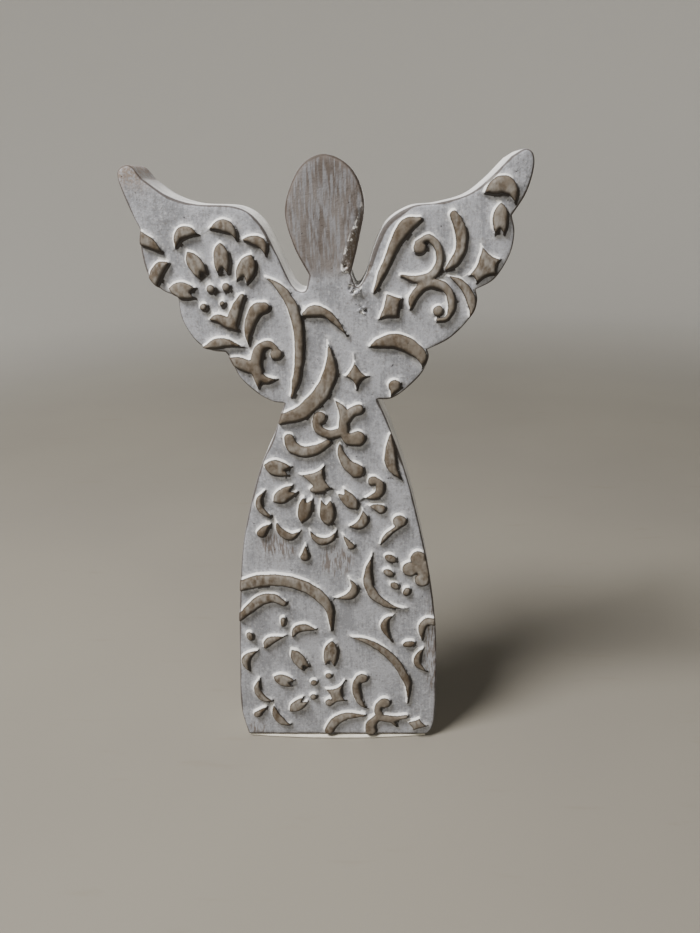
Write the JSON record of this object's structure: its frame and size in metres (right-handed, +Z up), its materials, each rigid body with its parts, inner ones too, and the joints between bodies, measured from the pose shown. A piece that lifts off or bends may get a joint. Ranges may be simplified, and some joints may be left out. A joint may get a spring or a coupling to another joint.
{
  "type": "angel figurine",
  "caption": "Flat standing angel figurine with a plain oval head, raised scalloped wings and a flared gown, all with raised damask motifs, on a thin base pad.",
  "frame": {"origin": "middle of the footprint, on the surface that the figurine stands on", "axes": "+Z up, the decorated front faces -Y, +X towards the right-hand wing as seen from the front"},
  "size_m": [0.1175, 0.0176, 0.2],
  "materials": {
    "whitewashed_resin": "matte, whitewashed over taupe brown",
    "pad_foam": "matte cream foam"
  },
  "bodies": {
    "root": {"resin_casting": "whitewashed_resin", "base_pad": "pad_foam"}
  },
  "joints": []
}
